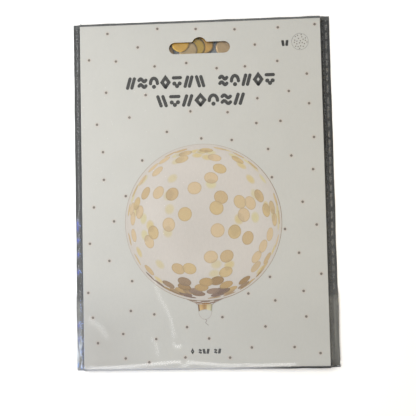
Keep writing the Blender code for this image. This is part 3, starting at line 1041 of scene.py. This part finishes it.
def make_bag(material):
    """One web of film: flap, bottom fold, front, top fold and back."""
    xs = graded(
        bag_low.x,
        (WELD_LEFT, 0.45 * MM),
        (card_low.x + 3 * MM, 0.3 * MM),
        (-32 * MM, 1.1 * MM),
        (-4 * MM, 0.5 * MM),
        (card_high.x - 3 * MM, 1.1 * MM),
        (WELD_RIGHT, 0.3 * MM),
        (bag_high.x, 0.45 * MM),
    )
    front_ys = graded(
        card_low.y, (card_low.y + 6 * MM, 0.3 * MM), (-6 * MM, 0.5 * MM), (card_high.y, 0.9 * MM)
    )
    back_ys = graded(MOUTH_Y, (FLAP_END + 2 * STEP_LENGTH, 1.2 * MM), (card_high.y, 2.2 * MM))
    patches = Patches()
    for ys, film, paint in ((front_ys, front_film, front_paint), (back_ys, back_film, back_paint)):
        plan, faces = plate_with_hole(xs, ys, SLOT_RING)
        patches.add_film(np.column_stack([plan, film(*plan.T)]), faces, paint)

    stir = 1 + 0.12 * perlin(xs, xs * 0, 9 * MM, 4.0)
    tops = np.full(len(xs), card_high.y)
    beside = ramp(np.abs(xs), card_high.x, card_high.x + 2 * MM)
    reach = (bag_high.y - FILM / 2 - card_high.y) * stir + 0.6 * MM * beside
    rows = fold_rows(xs, tops, front_film(xs, tops), back_film(xs, tops), reach)
    patches.add_film(*strip(rows), lambda xs, ys: tint(xs, TOP_SMOKE, 0.85))
    lows = np.full(len(xs), card_low.y)
    reach = (bag_low.y + FILM / 2 - card_low.y) * stir
    rows = fold_rows(xs, lows, front_film(xs, lows), flap_height(xs, lows), reach)
    patches.add_film(*strip(rows), bottom_paint)
    rows = [row_at(xs, y, flap_height) for y in stations(FLAP_END, card_low.y, 1.5 * MM)]
    patches.add_film(*strip(rows), flap_paint)

    coords = np.array(patches.coords)
    coords[:, 0] = wavy(coords[:, 0], coords[:, 1])
    patches.coords = [tuple(c) for c in coords]
    bag = add_piece("bag_film", patches, material)
    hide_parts("bag")


def make_tape(material):
    """The adhesive strip on the flap, very slightly wavy."""
    xs = np.array(stations(tape_low.x, tape_high.x, 1.5 * MM))
    middle = (tape_low.z + tape_high.z) / 2

    def height(xs, ys):
        return middle + 0.08 * MM * perlin(xs, ys, 9 * MM, 12.0)

    rows = [row_at(xs, y, height) for y in stations(tape_low.y, tape_high.y, 0.5 * MM)]
    patches = Patches()
    patches.add_film(*strip(rows), lambda xs, ys: tint(xs, rgb(170, 170, 164), 0.35))
    tape = add_piece("adhesive_strip", patches, material)
    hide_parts("flap_tape")


# Folded balloon

NECK_HALF = 9.0 * MM
NECK_LENGTH = 9.0 * MM
SHOULDER_LENGTH = 12.0 * MM
CORNER = 12.0 * MM
BALLOON_HALF = (balloon_high.x - balloon_low.x) / 2


def balloon_half(y):
    """Half width of the folded balloon at height y."""
    rise = min(max((y - balloon_low.y - NECK_LENGTH) / SHOULDER_LENGTH, 0.0), 1.0)
    half = NECK_HALF + (BALLOON_HALF - NECK_HALF) * math.sqrt(1 - (1 - rise) ** 2)
    corner = max(y - (balloon_high.y - CORNER), 0.0)
    return half - CORNER + math.sqrt(max(CORNER**2 - corner**2, 0.0))


def creases(xs, ys, layer):
    """Sharp folds in crumpled film, from 0 in the valleys to about 1 on the folds."""
    long_folds = 1 - np.abs(perlin(xs, ys * 0.25, 13 * MM, layer)) * 2.2
    fine_folds = 1 - np.abs(perlin(xs, ys, 5 * MM, layer + 3.0)) * 2.2
    return 0.6 * long_folds + 0.4 * fine_folds


def upper_paint(xs, ys):
    return tint(xs, rgb(200, 202, 202), 0.05)


def lower_paint(xs, ys):
    """Denser and darker under the hang slot, which darkens the gap seen through the slot."""
    near = bell((xs - SLOT_MIDDLE[0]) / (24 * MM), (ys - SLOT_MIDDLE[1]) / (11 * MM))
    return coated(tint(xs, rgb(150, 158, 162), 0.22), rgb(92, 102, 108), 0.76, near)


def make_balloon(material):
    """A flat crumpled pouch: an upper and a lower sheet that meet along their rims."""
    ys = graded(
        balloon_low.y,
        (balloon_low.y + 24 * MM, 1.0 * MM),
        (balloon_high.y - CORNER, 1.1 * MM),
        (balloon_high.y - 0.2 * MM, 0.8 * MM),
    )
    across = np.array([math.sin(math.pi / 2 * s) for s in stations(-1.0, 1.0, 1 / 52)])
    bulge = np.sqrt(np.clip(1 - across**6, 0.0, 1.0))
    roof = balloon_high.z - 0.22 * MM
    patches = Patches()
    for upper in (True, False):
        rows = []
        for y in ys:
            xs = CARD_MIDDLE + balloon_half(y) * across
            row_ys = np.full(len(xs), y)
            floor = weld_height(row_ys) + GAP + 0.05 * MM
            rim = (roof + floor) / 2
            side = bulge * math.sqrt(min(max((balloon_high.y - y) / CORNER, 0.0), 1.0))
            sheet, rise, layer = (roof - 0.1 * MM, 0.16 * MM, 20.0) if upper else (floor, 0.2 * MM, 30.0)
            height = rim + (sheet - rim) * side + side * rise * creases(xs, row_ys, layer)
            rows.append(list(zip(xs, row_ys, np.minimum(height, balloon_high.z))))
        patches.add_film(*strip(rows), upper_paint if upper else lower_paint)
    skin = add_piece("balloon_skin", patches, material)
    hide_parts("balloon")


# Confetti

FOIL_TINTS = (
    rgb(206, 156, 66), rgb(190, 156, 76), rgb(176, 150, 104), rgb(200, 158, 76), rgb(180, 150, 88),
)
SLOT_TINTS = (
    rgb(200, 156, 54), rgb(176, 152, 110), rgb(150, 122, 82),
    rgb(180, 148, 52), rgb(198, 154, 66), rgb(178, 150, 108),
)  # of the first discs, which show in the hang slot
DISC_RADIUS = 5.0 * MM
DISC_THICKNESS = 0.06 * MM
DISC_BEND = 0.14 * MM
LOOSE_DISCS = 60
LOOSE_SEED = 23
LOOSE_TRIES = 20000


def disc_shape(centre, chance, colour=None):
    """A foil disc: a slightly bent round plate in its own or a chance tint, with painted shade darkening
    its rim.
    """
    shares, sides = (0.45, 0.8, 1.0), 40
    lean = chance.uniform(0, 2 * math.pi)
    bend = chance.uniform(-1, 1) * DISC_BEND
    tilt = chance.uniform(-0.5, 0.5) * DISC_BEND
    colour = colour or chance.choice(FOIL_TINTS)
    plan = [(0.0, 0.0)] + [(share * x, share * y) for share in shares for x, y in circle(sides)]
    coords, faces = [], []
    for half in (DISC_THICKNESS / 2, -DISC_THICKNESS / 2):
        faces += disc_faces(len(shares), sides, first=len(coords))
        for x, y in plan:
            along = x * math.cos(lean) + y * math.sin(lean)
            height = centre[2] + bend * (along * along - 0.3) + tilt * along + half
            coords.append((centre[0] + x * DISC_RADIUS, centre[1] + y * DISC_RADIUS, height))
    outer = len(plan) - sides
    under = outer + len(plan)
    for k in range(sides):
        after = (k + 1) % sides
        faces.append((outer + k, outer + after, under + after, under + k))
    # Painted shade: the rim is darker to give the dark shadow lines round stacked discs
    rim = tuple(c * 0.55 for c in colour)
    return coords, faces, ([colour] * outer + [rim] * sides) * 2


def make_confetti(material):
    """A bent foil disc for each disc of the model, and more of them between."""
    chance = random.Random(LOOSE_SEED)
    centres = []
    names = sorted(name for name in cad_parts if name.startswith("confetti_"))
    tints = dict(zip(names, SLOT_TINTS))
    for name in names:
        low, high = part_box(name)
        centres.append(tuple((low + high) / 2))
        disc = Patches()
        disc.add(*disc_shape(centres[-1], chance, tints.get(name)))
        piece = add_piece(name.replace("confetti", "foil_disc"), disc, material)
        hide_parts(name)
    levels = sorted({round(c[2], 6) for c in centres})
    wanted = len(centres) + LOOSE_DISCS
    loose = Patches()
    for _ in range(LOOSE_TRIES):
        x = chance.uniform(balloon_low.x + 8 * MM, balloon_high.x - 8 * MM)
        y = chance.uniform(balloon_low.y + 26 * MM, balloon_high.y - 7 * MM)
        z = chance.choice(levels)
        apart = all(
            abs(other[2] - z) > 0.1 * MM or math.dist(other[:2], (x, y)) > 2 * DISC_RADIUS + GAP
            for other in centres
        )
        if apart and len(centres) < wanted:
            centres.append((x, y, z))
            loose.add(*disc_shape((x, y, z), chance))
    add_piece("foil_discs_loose", loose, material)


# Studio

SKY = 0.61
FLOOR_HALF = 3.0
WHITE, WARM, COOL = (1.0, 1.0, 1.0), (1.0, 0.66, 0.10), (0.22, 0.40, 1.0)
LIGHTS = {
    "key": ((-0.54, 0.14, 0.55), (0, 0, 0), (0.45, 0.45), 5.1, WHITE),
    "pool": ((-0.10, 0.055, 0.28), (-0.04, 0.035, 0), (0.15, 0.15), 4.35, WHITE, "shade"),
    "warm_side": ((0.36, 0.0, 0.20), (0.05, 0, 0), (0.2, 0.3), 3.4, WARM, "shade", 60),
    "low_window": ((-0.02, -0.33, 0.37), (0, -0.08, 0), (0.5, 0.10), 8.5, WHITE, "glints"),
    "slant_window": ((-0.27, -0.20, 0.45), (0, -0.06, 0), (0.14, 0.14), 3.4, WHITE, "glints"),
    "side_window": ((-0.5, -0.27, 0.20), (-0.06, -0.04, 0), (0.3, 0.46), 11.0, COOL, "glints"),
}  # place, target, size, radiance, colour, what it gives, and the width of its beam in degrees


def add_light(name, place, target, size, radiance, colour, gives="both", beam=180):
    """A soft rectangular light that faces its target; it gives shade, glints or both."""
    lamp = bpy.data.lights.new(name, "AREA")
    lamp.shape = "RECTANGLE"
    lamp.size, lamp.size_y = size
    lamp.energy = radiance * math.pi * size[0] * size[1]
    if beam < 180:
        lamp.spread = math.radians(beam)
        lamp.energy *= 1 - lamp.spread / 2 / math.tan(lamp.spread / 2)
    lamp.color = colour
    light = in_scene(name, lamp)
    light.location = place
    aim = Vector(target) - Vector(place)
    light.rotation_euler = aim.to_track_quat("-Z", "Y").to_euler()
    light.visible_diffuse = gives != "glints"
    light.visible_glossy = gives != "shade"


def make_studio():
    scene = bpy.context.scene
    scene.view_settings.view_transform = "Standard"
    scene.world = bpy.data.worlds.new("studio")
    scene.world.use_nodes = True
    background = scene.world.node_tree.nodes["Background"]
    background.inputs["Color"].default_value = (1.0, 1.0, 1.0, 1.0)
    background.inputs["Strength"].default_value = SKY
    mesh = bpy.data.meshes.new("floor")
    corners = [(x * FLOOR_HALF, y * FLOOR_HALF, 0) for x, y in ((-1, -1), (1, -1), (1, 1), (-1, 1))]
    mesh.from_pydata(corners, [], [(0, 1, 2, 3)])
    mesh.materials.append(new_material("studio_floor", floor_shader))
    floor = in_scene("floor", mesh)
    floor.location.z = -0.1 * MM
    for name, settings in LIGHTS.items():
        add_light(name, *settings)


def make_camera():
    data = bpy.data.cameras.new("camera")
    data.lens = CAMERA_LENS
    camera = in_scene("camera", data)
    camera.location = CAMERA_PLACE
    camera.rotation_euler = [math.radians(turn) for turn in CAMERA_TURN]
    bpy.context.scene.camera = camera


make_camera()
make_studio()

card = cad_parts["card"]
card.data.materials.clear()
card.data.materials.append(new_material("printed_board", board_shader))

print_card()
make_bag(new_material("clear_film", film_shader, head_on=0.03, roughness=0.2, ripple=0.004 * MM))
make_tape(new_material("adhesive", film_shader, head_on=0.04, roughness=0.3))
make_balloon(new_material("balloon_film", film_shader, head_on=0.06, roughness=0.12, ripple=0.06 * MM))
make_confetti(new_material("gold_foil", foil_shader))
